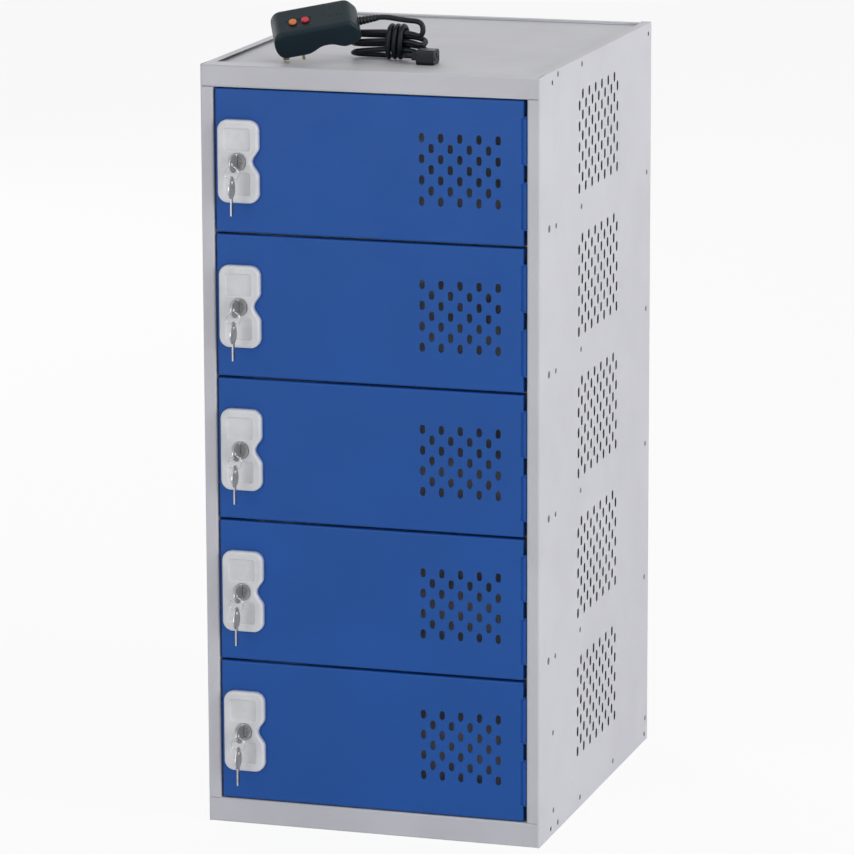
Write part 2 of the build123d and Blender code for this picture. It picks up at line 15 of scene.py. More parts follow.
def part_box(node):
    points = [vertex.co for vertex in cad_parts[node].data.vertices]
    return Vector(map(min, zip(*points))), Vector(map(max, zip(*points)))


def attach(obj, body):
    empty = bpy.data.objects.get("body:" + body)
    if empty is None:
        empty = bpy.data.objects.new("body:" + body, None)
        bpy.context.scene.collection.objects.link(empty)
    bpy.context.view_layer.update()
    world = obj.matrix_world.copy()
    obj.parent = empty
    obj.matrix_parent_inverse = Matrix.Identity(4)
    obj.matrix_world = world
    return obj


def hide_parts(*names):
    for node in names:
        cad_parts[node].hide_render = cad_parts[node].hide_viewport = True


bl_info = {
    "name": "Laptop Charging Locker",
    "version": (1, 0, 0),
    "blender": (4, 5, 0),
    "location": "3D View > Sidebar > Locker",
    "description": "Builds the sheet metal, locks, keys, lead and finishes of a laptop charging locker",
    "category": "Add Mesh",
}

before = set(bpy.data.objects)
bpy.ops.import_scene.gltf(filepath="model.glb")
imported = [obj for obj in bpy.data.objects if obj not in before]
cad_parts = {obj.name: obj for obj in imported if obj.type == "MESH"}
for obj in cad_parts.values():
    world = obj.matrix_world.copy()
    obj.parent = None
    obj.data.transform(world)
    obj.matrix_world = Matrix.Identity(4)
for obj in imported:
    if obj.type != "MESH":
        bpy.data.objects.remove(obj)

DOORS = sorted(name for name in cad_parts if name.startswith("door_"))
SHELVES = sorted(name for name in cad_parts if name.startswith("shelf_"))
CARCASS = "carcass"

PAINTED = (
    "top_rail", "bottom_rail", "top_panel", "back_panel", "base_panel",
    "floor_panel", "rear_partition", *SHELVES,
)
NUMBERS = range(1, len(DOORS) + 1)

# Levels of a sheet's grid nearer than this are one, and a mask reaches half as far past a fold
LEAST_STEP = 0.0002

# Angles of a fold's quarter turn, in four steps and without its first
TURN = np.arange(1, 5) / 4 * pi / 2

# Vent slots: a hole takes a block of four by four cells of its sheet's grid
SLOT_WIDTH = 0.007
SIDE_SLOT_WIDTH = 0.0086
SLOT_HEIGHT = 0.012
DOOR_SLOT_COLUMNS = 9
DOOR_SLOT_ROWS = 7
DOOR_SLOT_PITCH_X = 0.01255
DOOR_SLOT_PITCH_Z = 0.0135
DOOR_FIELD_INSET = 0.0834
SIDE_SLOT_COLUMNS = 13
SIDE_SLOT_ROWS = 5
SIDE_SLOT_PITCH_Y = 0.0156
SIDE_SLOT_PITCH_Z = 0.027
SIDE_FIELD_Y = 0.004
SIDE_FIELD_RISE = 0.0135

# Holes that bolt neighbouring lockers together
NEST_HOLE_RADIUS = 0.0033
NEST_HOLE_FRONT = 0.056
NEST_HOLE_REAR = 0.018
NEST_HOLE_TOP = 0.014
NEST_HOLE_BOTTOM = 0.010
NEST_PITCH = 0.0025

# Rivets, as places along Y and Z, and over each shelf as Y and rise; those ahead of the line are larger bolts
RIVETS = (
    (-0.193, 0.9935), (-0.079, 0.991), (-0.186, 0.010), (-0.077, 0.013),
    (0.090, 0.017), (-0.210, 0.137), (-0.207, 0.032), (0.261, 0.032),
)
SHELF_RIVETS = ((-0.232, 0.018), (-0.200, 0.017), (-0.079, 0.022), (0.252, 0.015))
RIVET_RISE = 0.0007
RIVET_SEAT = 0.0002
RIVET_RINGS, RIVET_STEPS = 4, 14
BOLT_LINE = -0.22
BOLT_SCALE = 1.35

# Folds of the sides
POST_WIDTH = 0.017
POST_RETURN = 0.018
REAR_FLANGE = 0.015
TOP_FLANGE = 0.012
TOP_FLANGE_SETBACK = 0.030
TOP_FOLD_RADIUS = 0.0015

# Bead behind the top panel
SEAM_GAP = 0.0003
SEAM_SEAT = 0.0006
SEAM_DEEP = 0.0008
SEAM_TALL = 0.0011
SEAM_STEPS = 12

# Hinge knuckles of a door
KNUCKLE_RADIUS = 0.0027
KNUCKLE_LENGTH = 0.057
KNUCKLE_INSET = 0.0224
KNUCKLE_REACH = 0.0016
GROOVE_WIDTH = 0.0048
GROOVE_DEPTH = 0.0017
GROOVE_STEPS = 9
KNUCKLE_START = -120
KNUCKLE_STEPS = 26

# Further levels across a door's plain part
LEAF_LEVELS = (-0.10, -0.04, 0.02)

# Lock plate
PLATE_TRIM = 0.0015
PLATE_CORNER = 0.0135
NOTCH_DEPTH = 0.009
NOTCH_HALF_HEIGHT = 0.0188
POCKET_HALF = (0.017, 0.014)
POCKET_RISE = 0.0285
POCKET_OFFSET = -0.001
POCKET_DEPTH = 0.0026
POCKET_CORNER = 0.003
SEAT_RADIUS = 0.0113
SEAT_DEPTH = 0.0015
LOCK_HOLE_HALF = 0.0098
POCKET_WALL = 0.0011
SEAT_WALL = 0.0008
PLATE_ROWS = 121
PLATE_COLUMNS = 76
ROW_BUNCHING = 0.6
COLUMN_BUNCHING = 0.45

# The safety plug's own frame: along it, across it and through it, from its low front corner
PLUG_CORNER_X = -0.138
PLUG_CORNER_Y = -0.226
PLUG_YAW = 20.0
PLUG_TILT = 10.0
PLUG_ROLL = 28.0
PLUG_LENGTH = 0.112
PLUG_WIDTH = 0.054
EARTH_PIN_ALONG = 0.012
EARTH_PIN_WIDE = 0.008
EARTH_PIN_THICK = 0.004
EARTH_PIN_LENGTH = 0.0227

# The plug's shell, in millimetres: its side profile as (along, through), then its well and ribs
SHELL_SIDE = (
    (8, -4), (42, -4), (50, -0.5), (58, 4.5), (67, 6), (77, 4.5), (85, -0.5), (93, -2.5),
    (112, 5), (112, 21), (101, 36), (8, 36), (1, 28), (0, 16), (2, 5),
)
SHELL_CORNER = 6.0
SHELL_ROUND = 5.0
SHELL_TOP_STEPS = 86
MARKED_WITHIN = 0.3
WELL_PLACE = (36.5, 21.0)
WELL_HALF = (15.5, 7.0)
WELL_CORNER = 2.5
WELL_DEPTH = 1.2
WELL_WALL = 0.8
RIB_PLACES = (75.0, 80.5, 86.0, 91.5)
RIB_SPAN = (22.0, 48.0)
RIB_HEIGHT = 0.9
RIB_BREADTH = 0.9

# The strain relief
RELIEF_SEAT = 0.002
RELIEF_LENGTH = 0.024
RELIEF_ROOT = 0.006
RELIEF_TIP = 0.0044
RELIEF_RIBS = 6
RELIEF_RIB_DEPTH = 0.0007
RELIEF_PLAIN_ENDS = (0.08, 0.96)
RELIEF_RINGS, RELIEF_STEPS = 73, 24
PLUG_EXIT = 0.016

# The lead's hank: its places are along X, across the stack and above the top panel
LEAD_DIAMETER = 0.007
HANK_LAYERS = 3
HANK_Y = -0.142
LEFT_END, LEFT_HALF = -0.062, 0.013
WAIST_LEFT, WAIST_RIGHT, WAIST_HALF = -0.020, 0.014, 0.0039
RIGHT_END, RIGHT_HALF = 0.034, 0.0095
LEFT_BASE, LEFT_PITCH = 0.0102, 0.0125
WAIST_BASE, WAIST_PITCH = 0.014, 0.011
RIGHT_BASE, RIGHT_PITCH = 0.009, 0.011
WRAP_START, WRAP_PITCH, WRAP_TURNS = -0.015, 0.0077, 3
WRAP_HALF, WRAP_LOW, WRAP_HIGH = 0.0114, 0.004, 0.0436
OVER_HEIGHT = 0.0516
OVER_START = (0.012, -0.013, OVER_HEIGHT + 0.0015)
OVER_LEAN = 0.001
CONNECTOR_ACROSS = -0.029
CONNECTOR_AXIS = 0.0098
CONNECTOR_START = 0.026

# Steps round a key ring, and round its wire
RING_STEPS, WIRE_STEPS = 48, 10

# Camera, at the photograph's viewing angle
CAMERA_PLACE = (1.9219, -6.2517, 1.8947)
CAMERA_RIGHT = (0.95566, 0.29445, -0.00321)
CAMERA_DOWN = (0.05906, -0.20233, -0.97753)
CAMERA_LENS = 211.9
CAMERA_SENSOR = 36.0
CAMERA_REACH = 60.0

# Lights, all aimed at one point: name, place, size and power
LIGHTS_AIM = (0.0, 0.0, 0.55)
LIGHTS = (
    ("Key", (4.6, -1.2, 2.2), 3.0, 116.0),
    ("Front", (-2.0, -6.0, 1.8), 3.6, 72.0),
    ("Top", (0.3, -0.6, 4.6), 3.2, 14.0),
    ("Back", (-3.4, 3.6, 2.4), 3.0, 62.0),
)
SKY_UNSEEN = 0.38
FLOOR_GLOW = 0.9
FLOOR_HALF = 9


def length(name, words, value):
    """A length property with its default."""
    return FloatProperty(name=name, description=words, default=value, unit="LENGTH")


class LockerSizes(PropertyGroup):
    """Sizes that change how the pieces are finished."""

    sheet: length("Sheet", "Thickness of the doors' sheet", 0.001)
    side_sheet: length("Side sheet", "Thickness of the sides' sheet", 0.0005)
    fold: length("Fold", "Outer radius of the carcass's folds", 0.0025)
    door_fold: length("Door fold", "Outer radius of the folded edges of a door", 0.0022)
    edge: length("Edge", "Width of the softened edge of cut and moulded pieces", 0.0004)
    plate_round: length("Plate round", "Radius of the rounded rim of a lock plate", 0.0032)
    ring_wire: length("Ring wire", "Radius of the wire of a key ring", 0.0008)
    rivet: length("Rivet", "Radius of a rivet's head", 0.0040)
    peel: length("Paint texture", "Depth of the paint's fine unevenness", 0.00006)


def colour(name, words, value):
    """A colour property with its default."""
    return FloatVectorProperty(name=name, description=words, subtype="COLOR", min=0, max=1, default=value)


class LockerColours(PropertyGroup):
    """Colours of the finishes, as linear values."""

    carcass: colour("Carcass", "Pale grey paint of the carcass", (0.585, 0.587, 0.63))
    door: colour("Door", "Blue paint of the doors", (0.010, 0.087, 0.365))
    plate: colour("Lock plate", "Pale moulding round each lock", (0.71, 0.72, 0.745))
    lock: colour("Lock", "Plated metal of the locks", (0.36, 0.36, 0.37))
    key: colour("Key", "Nickel of the keys", (0.46, 0.46, 0.465))
    ring: colour("Ring", "Steel of the key rings", (0.54, 0.54, 0.55))
    plug: colour("Safety plug", "Black moulding of the safety plug", (0.009, 0.021, 0.029))
    lead: colour("Lead", "Black sheath of the mains lead", (0.006, 0.009, 0.012))
    brass: colour("Pins", "Plated brass of the plug's pins", (0.72, 0.62, 0.38))
    test: colour("Test button", "Orange of the test button", (0.72, 0.19, 0.03))
    reset: colour("Reset button", "Red of the reset button", (0.62, 0.015, 0.03))
    outlet: colour("Outlets", "White plastic of the socket outlets", (0.80, 0.80, 0.79))
    zinc: colour("Rivets", "Dull zinc of the rivets", (0.15, 0.15, 0.17))


class Socket:
    """A shader socket that does arithmetic: numbers by Math nodes, colours and vectors by Vector Math."""

    def __init__(self, tree, source):
        self.tree, self.source = tree, source
        self.wide = source.type in ("VECTOR", "RGBA")

    def node(self, kind, settings=None, inputs=None, output=0):
        """Adds a node: its settings first, then its sockets' values or links."""
        fresh = self.tree.nodes.new(kind)
        for key, value in (settings or {}).items():
            setattr(fresh, key, value)
        for key, value in (inputs or {}).items():
            if isinstance(value, Socket):
                self.tree.links.new(value.source, fresh.inputs[key])
            else:
                fresh.inputs[key].default_value = value
        return Socket(self.tree, fresh.outputs[output])

    def maths(self, operation, first, second):
        """One Math node on two operands, or a Vector Math node where either is a vector's socket."""
        wide = any(isinstance(part, Socket) and part.wide for part in (first, second))
        kind = "ShaderNodeVectorMath" if wide else "ShaderNodeMath"
        return self.node(kind, {"operation": operation}, {0: first, 1: second})

    def __add__(self, other):
        return self.maths("ADD", self, other)

    def __sub__(self, other):
        return self.maths("SUBTRACT", self, other)

    def __mul__(self, other):
        return self.maths("MULTIPLY", self, other)

    __radd__, __rmul__ = __add__, __mul__

    def blend(self, low, high):
        """The colour between low and high that this mask picks."""
        low, high = (part if isinstance(part, Socket) else (*part, 1.0) for part in (low, high))
        settings = {"data_type": "RGBA", "clamp_factor": True}
        return self.node("ShaderNodeMix", settings, {0: self, 6: low, 7: high}, output=2)

    def above(self, low, high):
        """A mask that rises from 0 at low to 1 at high."""
        settings = {"interpolation_type": "SMOOTHSTEP"}
        return self.node("ShaderNodeMapRange", settings, {0: self, 1: low, 2: high, 3: 0.0, 4: 1.0})


class Finish:
    """A material with one Principled shader, and the textures that its looks are worked out from."""

    def __init__(self, name, **plain):
        self.material = bpy.data.materials.new(name)
        self.material.use_nodes = True
        self.tree = self.material.node_tree
        self.tree.nodes.clear()
        self.shader = self.tree.nodes.new("ShaderNodeBsdfPrincipled")
        self.surface = self.tree.nodes.new("ShaderNodeOutputMaterial").inputs["Surface"]
        self.tree.links.new(self.shader.outputs[0], self.surface)
        place = self.tree.nodes.new("ShaderNodeTexCoord")
        self.place = Socket(self.tree, place.outputs["Object"])
        for key, value in plain.items():
            self.shader.inputs[key.replace("_", " ")].default_value = value

    def noise(self, scale, detail=2.0, stretch=(1.0, 1.0, 1.0)):
        """Smooth noise; a stretch over 1 packs it more closely along that axis."""
        place = self.place * stretch
        return place.node("ShaderNodeTexNoise", None, {"Vector": place, "Scale": scale, "Detail": detail})

    def link(self, name, value):
        """Links one of the shader's sockets."""
        self.tree.links.new(value.source, self.shader.inputs[name])

    def bump(self, height, depth):
        """Raises the surface by height times depth, in metres."""
        bump = self.place.node("ShaderNodeBump", None, {"Strength": 1.0, "Distance": depth, "Height": height})
        self.link("Normal", bump)


def shade(value, factor):
    """A colour made darker or lighter."""
    return tuple(part * factor for part in value)


def paint(name, value, roughness):
    """Baked paint on steel: slow mottling, fine unevenness, and a gloss that varies like a wiped surface."""
    coat = Finish(name, Metallic=0.0, Coat_Weight=0.02, Coat_Roughness=0.25, Specular_IOR_Level=0.22)
    mottle = coat.noise(7.0, detail=3.0)
    handled = coat.noise(19.0, detail=5.0).above(0.42, 0.72)
    coat.link("Base Color", mottle.above(0.3, 0.7).blend(shade(value, 0.965), shade(value, 1.035)))
    coat.link("Roughness", roughness + 0.07 * handled + 0.05 * mottle)
    coat.bump(coat.noise(950.0, detail=1.0), bpy.context.scene.locker_sizes.peel)
    return coat.material


def moulding(name, value, roughness, grain, depth, specular=0.5):
    """Moulded plastic: a faint flow of colour, a fine even grain, and smoother spots from handling."""
    plastic = Finish(name, Metallic=0.0, Specular_IOR_Level=specular)
    flow = plastic.noise(34.0, detail=3.0)
    plastic.link("Base Color", flow.above(0.3, 0.7).blend(shade(value, 0.93), shade(value, 1.05)))
    plastic.link("Roughness", roughness + 0.10 * (plastic.noise(60.0, detail=4.0).above(0.35, 0.75) - 0.5))
    plastic.bump(plastic.noise(grain), depth)
    return plastic.material


def plating(name, value, roughness, stretch=(1.0, 1.0, 1.0)):
    """Plated metal: fine brushed lines along one axis, with small dull patches."""
    metal = Finish(name, Metallic=1.0)
    lines = metal.noise(700.0, stretch=stretch)
    dull = metal.noise(160.0, detail=4.0).above(0.48, 0.75)
    metal.link("Base Color", dull.blend(value, shade(value, 0.72)))
    metal.link("Roughness", roughness + 0.16 * dull + 0.10 * lines)
    metal.bump(lines, 0.00002)
    return metal.material


def sheath(name, value):
    """Flexible black sheath: dusty high spots on a dull, slightly rippled skin."""
    skin = Finish(name, Metallic=0.0, Specular_IOR_Level=0.25)
    dust = skin.noise(85.0, detail=5.0).above(0.5, 0.78)
    skin.link("Base Color", dust.blend(value, shade(value, 2.4)))
    skin.link("Roughness", 0.38 + 0.2 * dust)
    skin.bump(skin.noise(420.0), 0.00005)
    return skin.material


# Each finish: how it is made, its colour in the panel, and its numbers
FINISHES = {
    "carcass_finish": (paint, "carcass", dict(roughness=0.40)),
    "door_finish": (paint, "door", dict(roughness=0.36)),
    "plate_finish": (moulding, "plate", dict(roughness=0.34, grain=900.0, depth=0.00002)),
    "plug_moulding": (moulding, "plug", dict(roughness=0.42, grain=1400.0, depth=0.00003, specular=0.18)),
    "test_finish": (moulding, "test", dict(roughness=0.3, grain=1500.0, depth=0.00001)),
    "reset_finish": (moulding, "reset", dict(roughness=0.3, grain=1500.0, depth=0.00001)),
    "outlet_finish": (moulding, "outlet", dict(roughness=0.28, grain=900.0, depth=0.00001)),
    "inlet_finish": (moulding, "plug", dict(roughness=0.45, grain=1200.0, depth=0.00003)),
    "pin_plating": (plating, "brass", dict(roughness=0.22, stretch=(1.0, 1.0, 4.0))),
    "lock_plating": (plating, "lock", dict(roughness=0.20, stretch=(1.0, 4.0, 1.0))),
    "key_plating": (plating, "key", dict(roughness=0.26, stretch=(1.0, 1.0, 5.0))),
    "ring_plating": (plating, "ring", dict(roughness=0.16, stretch=(3.0, 1.0, 3.0))),
    "rivet_zinc": (plating, "zinc", dict(roughness=0.42)),
    "lead_sheath": (sheath, "lead", {}),
}


def finish(name):
    """The material of that name, made the first time that it is asked for."""
    make, value, numbers = FINISHES[name]
    value = getattr(bpy.context.scene.locker_colours, value)
    return bpy.data.materials.get(name) or make(name, value, **numbers)


def added(name, data):
    """A new object in the scene."""
    thing = bpy.data.objects.new(name, data)
    bpy.context.scene.collection.objects.link(thing)
    return thing


def piece(name, points, faces, look, slot, body, smooth=True):
    """A new mesh object from whole arrays, in its finish, riding on its body."""
    mesh = bpy.data.meshes.new(name)
    mesh.from_pydata(points.tolist(), [], [list(face) for face in faces])
    mesh.update()
    mesh.shade_smooth() if smooth else mesh.shade_flat()
    mesh.materials.append(finish(look))
    thing = added(name, mesh)
    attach(thing, body)
    return thing


def joined(parts):
    """Several (points, faces) pairs as one, each part's faces renumbered."""
    points, faces, count = [], [], 0
    for some_points, some_faces in parts:
        points.append(some_points)
        faces.extend([index + count for index in face] for face in some_faces)
        count += len(some_points)
    return np.concatenate(points), faces


def grid_faces(rows, columns, around=False):
    """The quads of a grid of rows by columns; around joins each row's last point to its first."""
    index = np.arange(rows * columns).reshape(rows, columns)
    if around:
        index = np.concatenate([index, index[:, :1]], axis=1)
    return np.stack([index[:-1, :-1], index[:-1, 1:], index[1:, 1:], index[1:, :-1]], axis=-1).reshape(-1, 4)


def tube_faces(sections, around):
    """The quads between closed rings of points, and a face across each end."""
    last = (sections - 1) * around
    quads = grid_faces(sections, around, around=True)[:, ::-1]
    return quads.tolist() + [list(range(around)), list(range(last, last + around))[::-1]]


def circle(steps):
    """Angles of a full circle."""
    return np.arange(steps) / steps * 2 * pi


def sheet(name, surface, look, slot, body, thickness):
    """A piece of folded sheet steel: its outer surface, made solid inwards."""
    thing = piece(name, *surface, look, slot, body, smooth=False)
    wall = thing.modifiers.new("Sheet", "SOLIDIFY")
    wall.thickness = thickness
    wall.use_quality_normals = True
    return thing


def soften(thing, width):
    """Rounds a piece's hard edges a little, once its loose triangles are merged."""
    thing.modifiers.new("Weld", "WELD").merge_threshold = 0.00001
    bevel = thing.modifiers.new("Edges", "BEVEL")
    bevel.width = width
    bevel.segments = 2
    bevel.limit_method = "ANGLE"
    bevel.angle_limit = radians(40.0)


def dress(name, look, edge=0.0):
    """Gives a node of the frame its finish, and softened edges if any."""
    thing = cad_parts[name]
    for place in thing.material_slots:
        place.material = finish(look)
    if edge:
        soften(thing, edge)


# The sixteen border points of a hole's block of cells, counter-clockwise, in cells
BLOCK = np.array([
    (2, 0), (2, 1), (2, 2), (1, 2), (0, 2), (-1, 2), (-2, 2), (-2, 1),
    (-2, 0), (-2, -1), (-2, -2), (-1, -2), (0, -2), (1, -2), (2, -2), (2, -1),
])


def slot_outline(width=SLOT_WIDTH):
    """Sixteen points of an upright slot: two half circles, with a point half way down each side."""
    cap = np.arange(7) * pi / 6
    straight = (SLOT_HEIGHT - SLOT_WIDTH) / 2
    top = np.stack([np.cos(cap), np.sin(cap)], 1) * width / 2 + (0, straight)
    side = np.array([(width / 2, 0.0)])
    return np.concatenate([side, top, -side, -top])


def round_outline(radius):
    """Sixteen points of a circle."""
    angle = circle(16)
    return np.stack([np.cos(angle), np.sin(angle)], 1) * radius


def nearest(us, places):
    """The index of the level at each place."""
    return np.abs(us[:, None] - places).argmin(0)


def following(rings):
    """Each ring's points, moved on by one."""
    return np.roll(rings, -1, axis=1)


def pierced(us, vs, holes, outlines, keep):
    """A flat sheet on the levels us by vs, pierced by holes.

    Each hole takes out the four by four cells round its place, and quads join the sixteen points
    of their border to the sixteen of the hole's outline. keep says which cells there are. Returns
    each vertex's (u, v) and the quads.
    """
    index = np.arange(len(us) * len(vs)).reshape(len(us), len(vs))
    i, j = nearest(us, holes[:, 0]), nearest(vs, holes[:, 1])
    cells = keep.copy()
    for di in range(-2, 2):
        for dj in range(-2, 2):
            cells[i + di, j + dj] = False
    a, b = np.nonzero(cells)
    quads = np.stack([index[a, b], index[a + 1, b], index[a + 1, b + 1], index[a, b + 1]], 1)
    border = index[i[:, None] + BLOCK[:, 0], j[:, None] + BLOCK[:, 1]]
    rim = index.size + np.arange(len(holes) * 16).reshape(-1, 16)
    collars = np.stack([border, following(border), following(rim), rim], -1).reshape(-1, 4)
    u, v = np.meshgrid(us, vs, indexing="ij")
    flat = np.stack([u.ravel(), v.ravel()], 1)
    rims = (holes[:, None] + outlines).reshape(-1, 2)
    points, faces = np.concatenate([flat, rims]), np.concatenate([quads, collars])
    used, faces = np.unique(faces, return_inverse=True)
    return points[used], faces.reshape(-1, 4)


def spaced(reach, pitch):
    """Evenly spaced places on either side of zero."""
    return np.arange(-reach, reach + 1) * pitch


def spot(number, count, pitch):
    """One of a count of places centred on zero."""
    return (number - (count - 1) / 2) * pitch


def between(us):
    """The middle of each cell."""
    return (us[1:] + us[:-1]) / 2


def levels(*parts):
    """Sorted levels from several lists, with near doubles dropped."""
    every = np.sort(np.concatenate([np.ravel(part) for part in parts]))
    return every[np.r_[True, np.diff(every) > LEAST_STEP]]


def box_distance(x, z, half_x, half_z, corner):
    """Signed distance to a rectangle with rounded corners; it is negative inside."""
    dx, dz = np.abs(x) - half_x + corner, np.abs(z) - half_z + corner
    outside = np.hypot(np.maximum(dx, 0), np.maximum(dz, 0))
    return outside + np.minimum(np.maximum(dx, dz), 0) - corner


def sunk(distance, depth, slope):
    """Depth of a recess: full inside, none outside, and a smooth wall of the given width between."""
    share = np.clip(0.5 - distance / slope, 0, 1)
    return depth * share * share * (3 - 2 * share)


class Studio(Operator):
    """Sets the camera, the soft lights and the pale floor"""

    bl_idname = "locker.studio"
    bl_label = "Studio"

    def execute(self, context):
        camera = bpy.data.cameras.new("Camera")
        camera.lens, camera.sensor_width, camera.clip_end = CAMERA_LENS, CAMERA_SENSOR, CAMERA_REACH
        view = added("Camera", camera)
        right, up = Vector(CAMERA_RIGHT).normalized(), -Vector(CAMERA_DOWN).normalized()
        turn = Matrix((right, up, right.cross(up))).transposed().to_4x4()
        view.matrix_world = Matrix.Translation(CAMERA_PLACE) @ turn
        context.scene.camera = view
        aim = Vector(LIGHTS_AIM)
        for name, place, size, power in LIGHTS:
            light = bpy.data.lights.new(name, "AREA")
            light.shape, light.size, light.energy = "DISK", size, power
            lamp = added(name, light)
            lamp.location = place
            lamp.rotation_euler = (aim - Vector(place)).to_track_quat("-Z", "Y").to_euler()
        self.sky(context)
        self.floor()
        context.scene.view_settings.view_transform = "Standard"
        return {"FINISHED"}

    def seen(self, tree):
        """A mask of 1 for rays from the camera, and those that metal and glass send on."""
        path = tree.nodes.new("ShaderNodeLightPath")
        rays = [Socket(tree, path.outputs[f"Is {kind} Ray"]) for kind in ("Camera", "Glossy", "Transmission")]
        return rays[0].maths("MAXIMUM", rays[0], rays[1].maths("MAXIMUM", *rays[1:]))

    def sky(self, context):
        """White where it is seen, and a weaker even light elsewhere."""
        world = bpy.data.worlds.new("Sky")
        world.use_nodes = True
        context.scene.world = world
        tree = world.node_tree
        seen = self.seen(tree)
        strength = SKY_UNSEEN + (1 - SKY_UNSEEN) * seen
        tree.links.new(strength.source, tree.nodes["Background"].inputs["Strength"])
        tree.nodes["Background"].inputs["Color"].default_value = (1.0, 1.0, 1.0, 1.0)

    def floor(self):
        """A wide pale floor, nearly white where the camera sees it, that keeps the locker's shadow."""
        mesh = bpy.data.meshes.new("floor")
        square = [(x * FLOOR_HALF, y * FLOOR_HALF, 0) for x, y in ((-1, -1), (1, -1), (1, 1), (-1, 1))]
        mesh.from_pydata(square, [], [(0, 1, 2, 3)])
        floor = added("floor", mesh)
        pale = Finish("floor_finish", Roughness=0.9)
        fleck = pale.noise(3.0, detail=3.0)
        pale.link("Base Color", fleck.blend((0.86, 0.86, 0.86), (0.9, 0.9, 0.9)))
        lit, glow = Socket(pale.tree, pale.shader.outputs[0]), pale.place.node("ShaderNodeEmission")
        shares = {0: self.seen(pale.tree) * FLOOR_GLOW, 1: lit, 2: glow}
        pale.tree.links.new(glow.node("ShaderNodeMixShader", None, shares).source, pale.surface)
        mesh.materials.append(pale.material)


def middle(name, axis):
    """The middle of a node's box along one axis."""
    low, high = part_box(name)
    return (low[axis] + high[axis]) / 2


def top_surface():
    """Height of the sunk top panel."""
    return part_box("top_panel")[1].z


def plug_frame():
    """The safety plug's own frame; the lowest corner of its earth pin touches the top panel."""
    turn = (
        Matrix.Rotation(radians(PLUG_YAW), 4, "Z")
        @ Matrix.Rotation(radians(-PLUG_TILT), 4, "Y")
        @ Matrix.Rotation(radians(PLUG_ROLL), 4, "X")
    )
    rise = -min(
        (turn @ Vector((EARTH_PIN_ALONG + dx, PLUG_WIDTH / 2 + dy, -EARTH_PIN_LENGTH))).z
        for dx in (-EARTH_PIN_WIDE / 2, EARTH_PIN_WIDE / 2)
        for dy in (-EARTH_PIN_THICK / 2, EARTH_PIN_THICK / 2)
    )
    return Matrix.Translation((PLUG_CORNER_X, PLUG_CORNER_Y, top_surface() + rise)) @ turn


def placed(points, matrix):
    """Points moved by a matrix."""
    turn, shift = np.array(matrix.to_3x3()), np.array(matrix.translation)
    return points @ turn.T + shift


def lead_route():
    """The lead's control points: out of the relief, over the hank, down its layers and round its waist."""
    seat = plug_frame()
    exit_place = Vector((PLUG_LENGTH + RELIEF_LENGTH, PLUG_WIDTH / 2, PLUG_EXIT))
    start = seat @ exit_place
    ahead = seat @ (exit_place + Vector((1.2 * LEAD_DIAMETER, 0, 0)))
    route = [OVER_START, (RIGHT_END, OVER_LEAN - RIGHT_HALF, OVER_HEIGHT)]
    for layer in reversed(range(HANK_LAYERS)):
        for side, level in ((-1, layer), (1, layer - 0.5)):
            run = [
                (RIGHT_END, RIGHT_HALF, RIGHT_BASE + RIGHT_PITCH * level),
                (WAIST_RIGHT, WAIST_HALF, WAIST_BASE + WAIST_PITCH * level),
                (WAIST_LEFT, WAIST_HALF, WAIST_BASE + WAIST_PITCH * level),
                (LEFT_END, LEFT_HALF, LEFT_BASE + LEFT_PITCH * level),
            ]
            if side > 0:
                run = run[::-1] if layer else run[-1:]
            route += [(x, side * across, height) for x, across, height in run]
    x, quarter = WRAP_START, WRAP_PITCH / 4
    for _ in range(WRAP_TURNS):
        for across, height in (
            (WRAP_HALF, WRAP_LOW), (-WRAP_HALF, WRAP_LOW), (-WRAP_HALF, WRAP_HIGH), (WRAP_HALF, WRAP_HIGH)
        ):
            route.append((x, across, height))
            x += quarter
    route.append((x, WRAP_HALF, WRAP_LOW))
    lean = quarter * (WRAP_HALF - CONNECTOR_ACROSS) / (2 * WRAP_HALF)
    route.append((x + lean, CONNECTOR_ACROSS, CONNECTOR_AXIS))
    route.append((CONNECTOR_START, CONNECTOR_ACROSS, CONNECTOR_AXIS))
    base = Vector((0, HANK_Y, top_surface()))
    return [start, ahead] + [base + Vector(place) for place in route]


